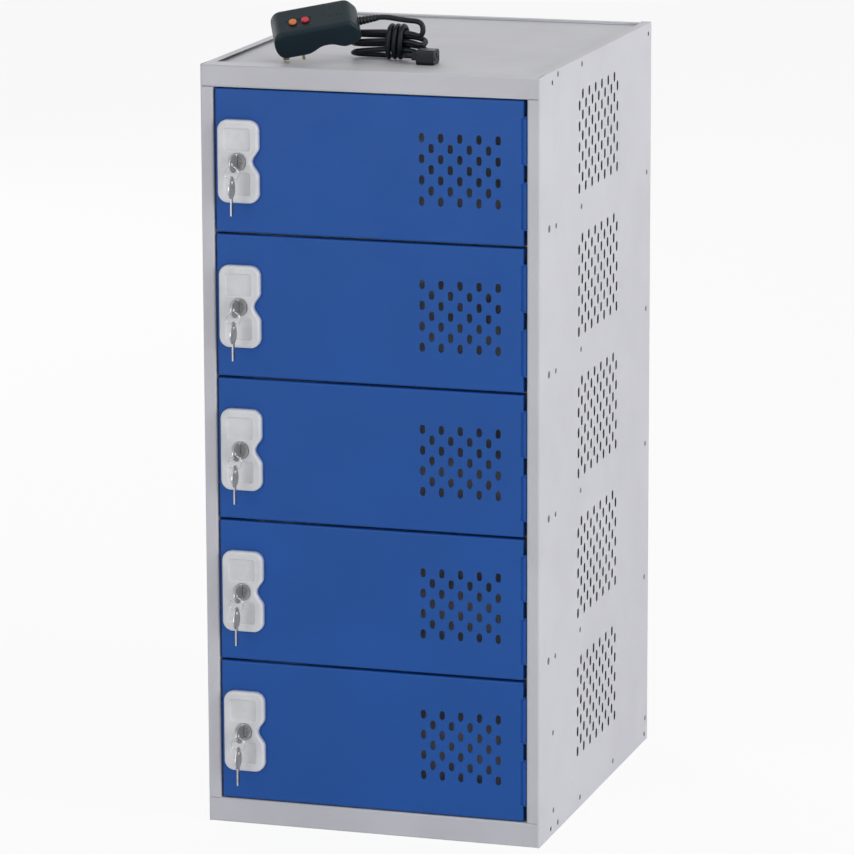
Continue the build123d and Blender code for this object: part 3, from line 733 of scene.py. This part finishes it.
class Lead(Operator):
    """Lays the mains lead in its hank, with its strain relief, safety plug and connector"""

    bl_idname = "locker.lead"
    bl_label = "Mains lead"

    def execute(self, context):
        sizes = context.scene.locker_sizes
        route = lead_route()
        curve = bpy.data.curves.new("mains_lead", "CURVE")
        curve.dimensions = "3D"
        curve.bevel_depth = LEAD_DIAMETER / 2
        curve.bevel_resolution = 3
        curve.resolution_u = curve.render_resolution_u = 6
        curve.use_fill_caps = True
        spline = curve.splines.new("NURBS")
        spline.points.add(len(route) - 1)
        spline.points.foreach_set("co", np.array([(*point, 1.0) for point in route]).ravel())
        spline.order_u = 3
        spline.use_endpoint_u = True
        curve.materials.append(finish("lead_sheath"))
        lead = added("mains_lead", curve)
        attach(lead, CARCASS)
        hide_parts("lead_hank")
        relief = piece("relief_sleeve", *self.relief(), "lead_sheath", "lead_rubber", CARCASS)
        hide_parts("strain_relief")
        housing = piece("plug_shell", *self.housing(), "plug_moulding", "plug_plastic", CARCASS)
        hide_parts("plug_housing")
        dress("lead_connector", "lead_sheath", edge=0.0010)
        dress("plug_pins", "pin_plating", sizes.edge)
        dress("test_button", "test_finish", sizes.edge)
        dress("reset_button", "reset_finish", sizes.edge)
        return {"FINISHED"}

    def housing(self):
        """The plug's shell: its side profile carried across its width, in millimetres.

        Each corner of the profile is a quadratic curve between points a little way down its two
        sides. Towards the two flat faces the profile shrinks about its middle as a quarter circle
        falls. The marked face then sinks for the buttons' well and rises in a bell curve at each rib.
        """
        side = np.array(SHELL_SIDE, float)
        before, after = np.roll(side, 1, 0) - side, np.roll(side, -1, 0) - side
        reach = [np.minimum(SHELL_CORNER / np.hypot(*way.T), 0.5)[:, None] * way for way in (before, after)]
        t = np.linspace(0.06, 0.94, 6)[None, :, None]
        curve = side[:, None] + (1 - t) ** 2 * reach[0][:, None] + t ** 2 * reach[1][:, None]
        face = side[:, 1].argmax() + 1
        ends = curve[face - 1, -1], curve[face, 0]
        top = np.linspace(*ends, SHELL_TOP_STEPS)[1:-1]
        outline = np.concatenate([curve[:face].reshape(-1, 2), top, curve[face:].reshape(-1, 2)])
        round_off = np.linspace(0, pi / 2, 7)
        edge, inset = SHELL_ROUND * (1 - np.cos(round_off)), SHELL_ROUND * (1 - np.sin(round_off))
        wide = 1000 * PLUG_WIDTH
        across = np.r_[edge, np.arange(SHELL_ROUND + 1, wide - SHELL_ROUND), wide - edge[::-1]]
        inset = np.r_[inset, np.zeros(len(across) - 2 * len(inset)), inset[::-1]]
        core = (outline.max(0) + outline.min(0)) / 2
        half = (outline.max(0) - outline.min(0)) / 2
        spread = (outline - core)[:, None] * (1 - inset[:, None] / half) + core
        along, through = spread[..., 0], spread[..., 1]
        width = np.repeat(across[None], len(outline), 0)
        marked = (outline[:, 1] > side[:, 1].max() - MARKED_WITHIN)[:, None]
        well = box_distance(along - WELL_PLACE[0], width - WELL_PLACE[1], *WELL_HALF, WELL_CORNER)
        ribs = sum(np.exp(-((along - place) / RIB_BREADTH) ** 2) for place in RIB_PLACES)
        ribs = ribs * (np.tanh(width - RIB_SPAN[0]) - np.tanh(width - RIB_SPAN[1])) / 2
        through = through + marked * (RIB_HEIGHT * ribs - sunk(well, WELL_DEPTH, WELL_WALL))
        rounds, sections = along.shape
        points = np.stack([along, width, through], -1).transpose(1, 0, 2).reshape(-1, 3) / 1000
        return placed(points, plug_frame()), tube_faces(sections, rounds)

    def relief(self):
        """A tapered sleeve of rings: its radius falls evenly along its length, with a sine ripple of ribs."""
        along = np.linspace(0, 1, RELIEF_RINGS)
        plain_from, plain_to = RELIEF_PLAIN_ENDS
        ribbed = (along > plain_from) * (along < plain_to)
        radius = RELIEF_ROOT + (RELIEF_TIP - RELIEF_ROOT) * along
        radius = radius - RELIEF_RIB_DEPTH * np.sin(along * RELIEF_RIBS * pi) ** 2 * ribbed
        angle = circle(RELIEF_STEPS)
        x = np.repeat(along * (RELIEF_LENGTH + RELIEF_SEAT) - RELIEF_SEAT, RELIEF_STEPS)
        y = np.outer(radius, np.cos(angle)).ravel()
        z = np.outer(radius, np.sin(angle)).ravel()
        local = np.stack([x + PLUG_LENGTH, y + PLUG_WIDTH / 2, z + PLUG_EXIT], 1)
        return placed(local, plug_frame()), tube_faces(RELIEF_RINGS, RELIEF_STEPS)


class Sides(Operator):
    """Folds and pierces the two sides, with their posts and flanges"""

    bl_idname = "locker.sides"
    bl_label = "Pierced sides"

    def execute(self, context):
        sizes = context.scene.locker_sizes
        points, faces = self.surface(sizes.fold)
        for name, mirror in (("right_side", 1), ("left_side", -1)):
            turned = points * (mirror, 1, 1), faces[:, ::mirror]
            side = sheet(f"{name}_sheet", turned, "carcass_finish", "carcass_paint", CARCASS, sizes.side_sheet)
            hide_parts(name)
        return {"FINISHED"}

    def plan(self, fold, flat, half, front, back):
        """The sheet from above: each level's distance along it, its place, and the way that it faces.

        From the post's return it turns into the post, then into the flat side and the rear flange,
        over a quarter circle each time.
        """
        bend = fold * TURN
        corner = front + fold - bend[-1] - (POST_WIDTH - 2 * fold)
        rear = back - fold + bend
        along = np.r_[
            front + fold - 2 * bend[-1] - (POST_WIDTH - 2 * fold) - (POST_RETURN - fold),
            corner - bend[::-1], corner, front + fold - bend[::-1], flat, rear, rear[-1] + REAR_FLANGE - fold,
        ]
        facing = np.stack([
            np.r_[-1, -1, -np.cos(TURN), 0, np.sin(TURN), 1 + 0 * flat[1:], np.cos(TURN), 0],
            np.r_[0, 0, -np.sin(TURN), -1, -np.cos(TURN), 0 * flat[1:], np.sin(TURN), 1],
        ], 1)
        folds, turns = len(TURN), front + fold
        centre = np.stack([
            np.repeat(
                [half - POST_WIDTH + fold, half - fold, half - REAR_FLANGE],
                [folds + 2, len(flat) + 2 * folds, 1],
            ),
            np.r_[
                front + POST_RETURN, np.full(2 * folds + 2, turns), flat[1:], np.full(folds + 1, back - fold),
            ],
        ], 1)
        return along, centre + fold * facing, facing

    def surface(self, fold):
        """The right side's outer surface: its plan rises straight, then turns over into the top flange.

        The turn is a quarter circle that moves points inwards, against the way that the plan faces.
        """
        low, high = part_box("right_side")
        half, front, back, top = high.x, low.y, high.y, high.z
        sill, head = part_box("bottom_rail")[1].z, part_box("top_rail")[0].z
        rows = [middle(name, 2) + SIDE_FIELD_RISE for name in DOORS]
        nest_y = np.array([front + NEST_HOLE_FRONT, back - NEST_HOLE_REAR])
        nest_z = np.array([NEST_HOLE_BOTTOM, top - NEST_HOLE_TOP])
        slots = [(
            SIDE_FIELD_Y + spot(column, SIDE_SLOT_COLUMNS, SIDE_SLOT_PITCH_Y),
            row - SIDE_SLOT_PITCH_Z / 4 * (-1) ** column - spot(number, SIDE_SLOT_ROWS, SIDE_SLOT_PITCH_Z),
        ) for row in rows for column in range(SIDE_SLOT_COLUMNS) for number in range(SIDE_SLOT_ROWS)]
        nests = [(y, z) for y in nest_y for z in nest_z]
        slot, nest = slot_outline(SIDE_SLOT_WIDTH), round_outline(NEST_HOLE_RADIUS)
        outlines = [slot] * len(slots) + [nest] * len(nests)

        block = spaced(2, NEST_PITCH)
        field_y = SIDE_FIELD_Y + spaced(2 * SIDE_SLOT_COLUMNS, SIDE_SLOT_PITCH_Y / 4)
        field_z = np.add.outer(rows, spaced(2 * SIDE_SLOT_ROWS + 1, SIDE_SLOT_PITCH_Z / 4))
        flange_start = front + TOP_FLANGE_SETBACK
        flat = levels([front + fold, flange_start, back - fold], field_y, np.add.outer(nest_y, block))
        fold_start = top - TOP_FOLD_RADIUS
        straight = levels([0.0, sill, head, fold_start], field_z, np.add.outer(nest_z, block))
        s, plan, facing = self.plan(fold, flat, half, front, back)
        over = TOP_FOLD_RADIUS * TURN
        v = np.r_[straight, fold_start + over, top + TOP_FLANGE - TOP_FOLD_RADIUS + over[-1]]
        rise = np.r_[straight, top - TOP_FOLD_RADIUS * (1 - np.sin(TURN)), top]
        inset = np.r_[0 * straight, TOP_FOLD_RADIUS * (1 - np.cos(TURN)), TOP_FLANGE]

        mid_s, mid_v = between(s), between(v)
        on_post = mid_s[:, None] < front + fold - fold * TURN[-1]
        in_opening = (mid_v > sill) & (mid_v < head)
        flanged = (mid_s > flange_start) & (mid_s < back - fold)
        on_top = mid_v > v[-2]
        keep = (~on_post & ~on_top) | (on_post & in_opening) | (flanged[:, None] & on_top)
        uv, faces = pierced(s, v, np.array(slots + nests), np.array(outlines), keep)

        x, y = (np.interp(uv[:, 0], s, plan[:, k]) for k in (0, 1))
        nx, ny = (np.interp(uv[:, 0], s, facing[:, k]) for k in (0, 1))
        near = LEAST_STEP / 2
        on_flange = (uv[:, 0] > flange_start - near) & (uv[:, 0] < back - fold + near)
        moved = np.interp(uv[:, 1], v, inset) * on_flange
        return np.stack([x - moved * nx, y - moved * ny, np.interp(uv[:, 1], v, rise)], 1), faces


class CarcassFinish(Operator):
    """Paints the rails, panels, shelves and duct wall, and finishes the outlets and inlet"""

    bl_idname = "locker.carcass_finish"
    bl_label = "Carcass finish"

    def execute(self, context):
        sizes = context.scene.locker_sizes
        for name in PAINTED:
            dress(name, "carcass_finish", sizes.edge)
        piece("rear_seam", *self.seam(), "carcass_finish", "carcass_paint", CARCASS)
        dress("socket_outlets", "outlet_finish", edge=0.0012)
        dress("power_inlet", "inlet_finish", sizes.edge)
        dress("inlet_pins", "pin_plating")
        dress("hinge_pins", "door_finish", edge=0.0002)
        return {"FINISHED"}

    def seam(self):
        """A painted bead that closes the joint under the back panel's flange: an ellipse carried along X."""
        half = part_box("right_side")[1].x - TOP_FLANGE - SEAM_GAP
        angle = circle(SEAM_STEPS)
        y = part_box("back_panel")[0].y + SEAM_SEAT + SEAM_DEEP * np.cos(angle)
        z = top_surface() + SEAM_TALL * (1 + np.sin(angle))
        points = np.concatenate([np.stack([0 * y + end, y, z], 1) for end in (-half, half)])
        return points, [face[::-1] for face in tube_faces(2, SEAM_STEPS)]


class Doors(Operator):
    """Folds and pierces the doors, with their rolled hinge knuckles"""

    bl_idname = "locker.doors"
    bl_label = "Pierced doors"

    def execute(self, context):
        sizes = context.scene.locker_sizes
        for number, name in enumerate(DOORS, 1):
            low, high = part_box(name)
            painted = "door_finish", "door_paint", f"door_{number}_leaf", sizes.sheet
            leaf = sheet(f"{name}_sheet", self.leaf(low, high, sizes.door_fold, number), *painted)
            sheet(f"{name}_knuckles", self.knuckles(low, high), *painted)
            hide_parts(name)
        return {"FINISHED"}

    def spans(self, low, high):
        """Where the two knuckles start."""
        return low.z + KNUCKLE_INSET, high.z - KNUCKLE_INSET - KNUCKLE_LENGTH

    def turned(self, flat, fold, deep, start, end):
        """Levels, places and setbacks of a sheet whose two edges turn back over a quarter circle."""
        bend = fold * TURN
        far = fold * pi / 2 + deep - fold
        level = np.r_[flat[0] - far, flat[0] - bend[::-1], flat, flat[-1] + bend, flat[-1] + far]
        place = np.r_[start, flat[0] - fold * np.sin(TURN[::-1]), flat, flat[-1] + fold * np.sin(TURN), end]
        back = fold * (1 - np.cos(TURN))
        return level, place, np.r_[deep, back[::-1], 0 * flat, back, deep]

    def leaf(self, low, high, fold, number):
        """A door's outer surface: flat in front, and turned back over a quarter circle at each edge.

        Across and up the sheet, each level has a place and a setback; a point takes both setbacks,
        so the turned edges meet in a closed corner. The knuckles' strips are left out.
        """
        right = high.x - KNUCKLE_RADIUS - KNUCKLE_REACH
        deep = high.y - low.y
        lock_x, lock_z = middle(f"lock_barrel_{number}", 0), (low.z + high.z) / 2
        centre = right - DOOR_FIELD_INSET
        slots = [(
            centre + spot(column, DOOR_SLOT_COLUMNS, DOOR_SLOT_PITCH_X),
            lock_z - spot(row, DOOR_SLOT_ROWS, DOOR_SLOT_PITCH_Z),
        ) for row in range(DOOR_SLOT_ROWS) for column in range(row % 2, DOOR_SLOT_COLUMNS, 2)]
        outlines = [round_outline(LOCK_HOLE_HALF)] + [slot_outline()] * len(slots)

        block = spaced(2, DOOR_SLOT_PITCH_Z / 2)
        field_x = centre + spaced(2 * DOOR_SLOT_COLUMNS, DOOR_SLOT_PITCH_X / 4)
        field_z = lock_z + spaced(DOOR_SLOT_ROWS + 1, DOOR_SLOT_PITCH_Z / 2)
        spans = self.spans(low, high)
        groove = right - GROOVE_WIDTH
        across = levels([low.x + fold, right - fold], lock_x + block, field_x, LEAF_LEVELS, groove)
        upward = levels([low.z + fold, high.z - fold], field_z, np.add.outer(spans, [0, KNUCKLE_LENGTH]))
        s, place_x, back_x = self.turned(across, fold, deep, low.x, right)
        v, place_z, back_z = self.turned(upward, fold, deep, low.z, high.z)

        mid_s, mid_v = between(s), between(v)
        flange_s, flange_v = (np.isin(np.arange(len(mid)), (0, len(mid) - 1)) for mid in (mid_s, mid_v))
        rolled = sum((mid_v > start) & (mid_v < start + KNUCKLE_LENGTH) for start in spans) > 0
        beside = (mid_s > groove) & (mid_s < right)
        keep = ~(flange_s[:, None] & flange_v) & ~(beside[:, None] & rolled)
        uv, faces = pierced(s, v, np.array([(lock_x, lock_z), *slots]), np.array(outlines), keep)
        x, z = np.interp(uv[:, 0], s, place_x), np.interp(uv[:, 1], v, place_z)
        setback = np.interp(uv[:, 0], s, back_x) + np.interp(uv[:, 1], v, back_z)
        return np.stack([x, low.y + np.minimum(setback, deep), z], 1), faces

    def knuckles(self, low, high):
        """Two rolls: the door's front dips as a squared sine, then turns round the hinge's axis."""
        axis_x, axis_y = high.x - KNUCKLE_RADIUS, low.y + KNUCKLE_RADIUS
        angle = np.radians(np.linspace(KNUCKLE_START, 180, KNUCKLE_STEPS))
        start = high.x - KNUCKLE_RADIUS - KNUCKLE_REACH - GROOVE_WIDTH
        end = axis_x + KNUCKLE_RADIUS * np.cos(angle[0])
        share = np.linspace(0, 1, GROOVE_STEPS)[:-1]
        deep = axis_y + KNUCKLE_RADIUS * np.sin(angle[0]) - low.y
        dip = GROOVE_DEPTH * np.sin(share * pi) ** 2 + deep * share
        x = np.r_[start + (end - start) * share, axis_x + KNUCKLE_RADIUS * np.cos(angle)]
        y = np.r_[low.y + dip, axis_y + KNUCKLE_RADIUS * np.sin(angle)]
        parts = []
        for foot in self.spans(low, high):
            z = np.array([foot, foot + KNUCKLE_LENGTH])
            points = np.stack([np.repeat(x, 2), np.repeat(y, 2), np.tile(z, len(x))], 1)
            parts.append((points, grid_faces(len(x), 2)[:, ::-1].tolist()))
        return joined(parts)


class LockPlates(Operator):
    """Moulds the pale plate round each lock, with its finger notch and sunk pockets"""

    bl_idname = "locker.lock_plates"
    bl_label = "Lock plates"

    def execute(self, context):
        sizes = context.scene.locker_sizes
        for number in NUMBERS:
            name = f"lock_plate_{number}"
            surface = self.surface(*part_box(name), sizes.plate_round)
            plate = piece(f"{name}_moulding", *surface, "plate_finish", "plate_plastic", f"door_{number}_leaf")
            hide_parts(name)
        return {"FINISHED"}

    def surface(self, low, high, rounding):
        """A plate worked out row by row.

        A row runs from the left edge to the right one, which the corners' circles and the notch's
        raised cosine bring in. The face's height falls off by a quarter circle near the outline, and
        by the pockets and the lock's seat. The border then drops to the door, and a last face
        closes the back.
        """
        wide, tall, thick = high.x - low.x - 2 * PLATE_TRIM, high.z - low.z - 2 * PLATE_TRIM, high.y - low.y
        z = -tall / 2 * np.cos(np.linspace(0, pi, PLATE_ROWS))
        z = ROW_BUNCHING * z + (1 - ROW_BUNCHING) * np.linspace(-tall / 2, tall / 2, PLATE_ROWS)
        past = np.clip(np.abs(z) - (tall / 2 - PLATE_CORNER), 0, PLATE_CORNER)
        corner = PLATE_CORNER - np.sqrt(PLATE_CORNER ** 2 - past ** 2)
        near = np.abs(z) < NOTCH_HALF_HEIGHT
        notch = NOTCH_DEPTH * (0.5 + 0.5 * np.cos(pi * z / NOTCH_HALF_HEIGHT)) * near
        left, right = -wide / 2 + corner, wide / 2 - corner - notch
        share = np.linspace(0, 1, PLATE_COLUMNS)
        share = (1 - COLUMN_BUNCHING) * share + COLUMN_BUNCHING * (0.5 - 0.5 * np.cos(pi * share))
        x = left[:, None] + (right - left)[:, None] * share
        zz = np.repeat(z[:, None], PLATE_COLUMNS, 1)
        slope = NOTCH_DEPTH * pi / 2 / NOTCH_HALF_HEIGHT * np.sin(pi * z / NOTCH_HALF_HEIGHT) * near
        to_notch = (right[:, None] - x) / np.sqrt(1 + slope ** 2)[:, None]
        inside = -box_distance(x, zz, wide / 2, tall / 2, PLATE_CORNER)
        edge = np.clip(np.where(near[:, None], np.minimum(inside, to_notch), inside), 0, rounding)
        height = thick - rounding + np.sqrt(rounding ** 2 - (rounding - edge) ** 2)
        for rise in (-POCKET_RISE, POCKET_RISE):
            pocket = box_distance(x - POCKET_OFFSET, zz - rise, *POCKET_HALF, POCKET_CORNER)
            height = height - sunk(pocket, POCKET_DEPTH, POCKET_WALL)
        height = height - sunk(np.hypot(x, zz) - SEAT_RADIUS, SEAT_DEPTH, SEAT_WALL)
        top = np.stack([x, -height, zz], -1).reshape(-1, 3)
        index = np.arange(z.size * share.size).reshape(z.size, share.size)
        border = np.r_[index[0], index[1:, -1], index[-1, -2::-1], index[-2:0:-1, 0]]
        back = top[border] * (1, 0, 1)
        foot = index.size + np.arange(len(border))
        wall = np.stack([border, foot, np.roll(foot, -1), np.roll(border, -1)], 1)
        faces = grid_faces(PLATE_ROWS, PLATE_COLUMNS).tolist() + wall.tolist() + [foot[::-1].tolist()]
        centre = np.array([(low.x + high.x) / 2, high.y, (low.z + high.z) / 2])
        return np.concatenate([top, back]) + centre, faces


class Locks(Operator):
    """Finishes the lock barrels and their plugs"""

    bl_idname = "locker.locks"
    bl_label = "Locks"

    def execute(self, context):
        sizes = context.scene.locker_sizes
        for number in NUMBERS:
            dress(f"lock_barrel_{number}", "lock_plating", sizes.edge)
            dress(f"lock_plug_{number}", "lock_plating", edge=0.0002)
        return {"FINISHED"}


class Keys(Operator):
    """Finishes the keys and forms the rings that they hang on"""

    bl_idname = "locker.keys"
    bl_label = "Keys and rings"

    def execute(self, context):
        sizes = context.scene.locker_sizes
        for number in NUMBERS:
            dress(f"key_{number}", "key_plating", edge=0.0003)
            dress(f"spare_key_{number}", "key_plating", edge=0.0003)
            node = f"key_ring_{number}"
            surface = self.ring(*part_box(node), sizes.ring_wire)
            ring = piece(f"{node}_wire", *surface, "ring_plating", "ring_wire", f"ring_{number}")
            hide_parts(node)
        return {"FINISHED"}

    def ring(self, low, high, wire):
        """A torus about the Y axis: a circle of wire carried round the ring's own circle."""
        radius = (high.x - low.x) / 2 - wire
        centre = np.array((low + high) / 2)
        turn, spin = circle(RING_STEPS)[:, None], circle(WIRE_STEPS)[None]
        out = radius + wire * np.cos(spin)
        points = np.stack([out * np.cos(turn), wire * np.sin(spin) + 0 * turn, out * np.sin(turn)], -1)
        points = points.reshape(-1, 3) + centre
        index = np.arange(RING_STEPS * WIRE_STEPS).reshape(RING_STEPS, WIRE_STEPS)
        after, beside = np.roll(index, -1, 0), np.roll(index, -1, 1)
        faces = np.stack([index, beside, np.roll(beside, -1, 0), after], -1).reshape(-1, 4)
        return points, faces.tolist()


class Rivets(Operator):
    """Sets the rivets and nesting bolts on both sides"""

    bl_idname = "locker.rivets"
    bl_label = "Rivets"

    def execute(self, context):
        sizes = context.scene.locker_sizes
        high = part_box("right_side")[1]
        tops = [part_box(shelf)[1].z for shelf in SHELVES]
        places = np.array([*RIVETS, *((y, level + rise) for level in tops for y, rise in SHELF_RIVETS)])
        for name, mirror in (("right", 1), ("left", -1)):
            points, faces = self.heads(places, high.x, sizes.rivet)
            turned = points * (mirror, 1, 1), [face[::mirror] for face in faces]
            piece(f"{name}_rivets", *turned, "rivet_zinc", "carcass_paint", CARCASS)
        return {"FINISHED"}

    def heads(self, places, face, radius):
        """Low domes: each ring's radius and height follow an ellipse, up to the crown."""
        angle = circle(RIVET_STEPS)
        tilt = np.linspace(0, pi / 2, RIVET_RINGS + 1)[:-1]
        reach = radius * np.cos(tilt)[:, None]
        y, z = reach * np.cos(angle), reach * np.sin(angle)
        x = face - RIVET_SEAT + RIVET_RISE * np.sin(tilt)[:, None] + 0 * y
        crown = np.array([(face - RIVET_SEAT + RIVET_RISE, 0, 0)])
        dome = np.concatenate([np.stack([x, y, z], -1).reshape(-1, 3), crown])
        rim = np.arange((RIVET_RINGS - 1) * RIVET_STEPS, y.size)
        faces = grid_faces(RIVET_RINGS, RIVET_STEPS, around=True).tolist()
        faces += np.stack([rim, np.roll(rim, -1), np.full(len(rim), y.size)], 1).tolist()
        return joined([
            (dome * (1, scale, scale) + (0, y, z), faces)
            for (y, z), scale in zip(places, np.where(places[:, 0] < BOLT_LINE, BOLT_SCALE, 1.0))
        ])


class LockerPanel(Panel):
    """Lists the steps that build the locker, and its sizes and colours"""

    bl_idname = "LOCKER_PT_panel"
    bl_label = "Laptop Charging Locker"
    bl_space_type = "VIEW_3D"
    bl_region_type = "UI"
    bl_category = "Locker"

    def draw(self, context):
        for operator in OPERATORS:
            self.layout.operator(operator.bl_idname)
        for group in (context.scene.locker_sizes, context.scene.locker_colours):
            for name in group.bl_rna.properties.keys():
                if name not in ("name", "rna_type"):
                    self.layout.prop(group, name)


OPERATORS = (Studio, Lead, Sides, CarcassFinish, Doors, LockPlates, Locks, Keys, Rivets)
CLASSES = (LockerSizes, LockerColours, *OPERATORS, LockerPanel)


def register():
    """Adds the classes and the scene's two groups of properties."""
    for each in CLASSES:
        bpy.utils.register_class(each)
    bpy.types.Scene.locker_sizes = PointerProperty(type=LockerSizes)
    bpy.types.Scene.locker_colours = PointerProperty(type=LockerColours)


def unregister():
    """Takes away what register added."""
    del bpy.types.Scene.locker_colours
    del bpy.types.Scene.locker_sizes
    for each in reversed(CLASSES):
        bpy.utils.unregister_class(each)


def main():
    """Builds the whole scene."""
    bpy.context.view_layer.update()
    register()
    for step in (
        "studio", "lead", "sides", "carcass_finish", "doors", "lock_plates", "locks", "keys", "rivets",
    ):
        getattr(bpy.ops.locker, step)()


if __name__ == "__main__":
    main()
